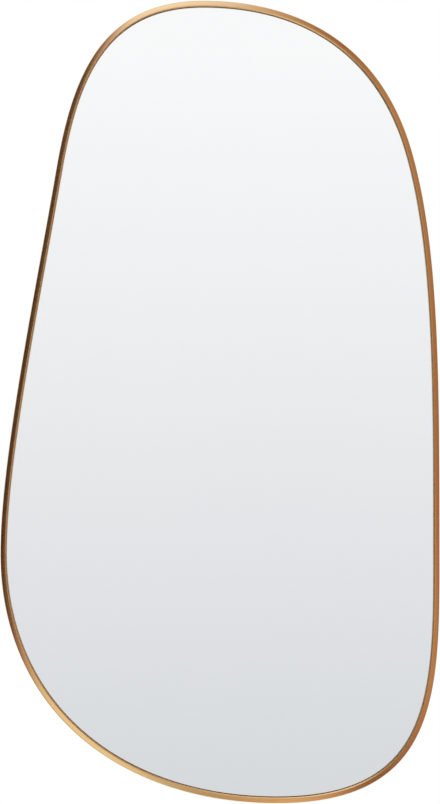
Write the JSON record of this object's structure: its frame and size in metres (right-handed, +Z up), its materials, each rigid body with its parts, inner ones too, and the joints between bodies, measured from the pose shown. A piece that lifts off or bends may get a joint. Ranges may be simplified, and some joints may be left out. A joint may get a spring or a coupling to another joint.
{
  "type": "wall mirror",
  "caption": "Wall mirror with an irregular rounded outline in a thin brushed gold metal frame, with a board back and swinging D-ring hangers.",
  "frame": {"origin": "on the wall plane, midway between the two wall hooks that the raised D-rings hang on", "axes": "+Z up along the mirror's height, +X to the right as a viewer in front sees it, +Y from the mirror's face towards the wall, so the glass faces -Y"},
  "size_m": [0.6021, 0.03, 1.1],
  "materials": {
    "brushed_gold": "satin",
    "mirror_silver": "polished",
    "zinc_steel": "satin",
    "bright_screw": "satin",
    "bright_wire": "polished",
    "dark_steel": "satin",
    "gasket_rubber": "matte",
    "safety_film": "matte",
    "white_foam": "matte",
    "backing_board": "matte",
    "bumper_rubber": "matte"
  },
  "bodies": {
    "mirror": {"frame_profile": "brushed_gold", "splice_plate": "zinc_steel", "set_screw_1": "dark_steel", "set_screw_2": "dark_steel", "set_screw_3": "dark_steel", "set_screw_4": "dark_steel", "glazing_gasket": "gasket_rubber", "mirror_glass": "mirror_silver", "shatter_film": "safety_film", "mounting_tape_1": "white_foam", "mounting_tape_2": "white_foam", "mounting_tape_3": "white_foam", "mounting_tape_4": "white_foam", "backing_board": "backing_board", "retaining_clip_1": "zinc_steel", "retaining_clip_2": "zinc_steel", "retaining_clip_3": "zinc_steel", "retaining_clip_4": "zinc_steel", "retaining_clip_5": "zinc_steel", "retaining_clip_6": "zinc_steel", "retaining_clip_7": "zinc_steel", "retaining_clip_8": "zinc_steel", "retaining_clip_9": "zinc_steel", "retaining_clip_10": "zinc_steel", "clip_screw_1": "bright_screw", "clip_screw_2": "bright_screw", "clip_screw_3": "bright_screw", "clip_screw_4": "bright_screw", "clip_screw_5": "bright_screw", "clip_screw_6": "bright_screw", "clip_screw_7": "bright_screw", "clip_screw_8": "bright_screw", "clip_screw_9": "bright_screw", "clip_screw_10": "bright_screw", "left_hanger_strap": "zinc_steel", "left_strap_screw_1": "bright_screw", "left_strap_screw_2": "bright_screw", "right_hanger_strap": "zinc_steel", "right_strap_screw_1": "bright_screw", "right_strap_screw_2": "bright_screw", "bumper_1": "bumper_rubber", "bumper_2": "bumper_rubber", "bumper_3": "bumper_rubber", "bumper_4": "bumper_rubber"},
    "left_ring": {"left_d_ring": "bright_wire"},
    "right_ring": {"right_d_ring": "bright_wire"}
  },
  "joints": [
    {"name": "left_ring_swing", "type": "hinge", "parent": "mirror", "child": "left_ring", "pos_m": [-0.15, -0.01, -0.016], "axis": [1, 0, 0], "range_deg": [0, 180]},
    {"name": "right_ring_swing", "type": "hinge", "parent": "mirror", "child": "right_ring", "pos_m": [0.15, -0.01, -0.016], "axis": [1, 0, 0], "range_deg": [0, 180]}
  ]
}
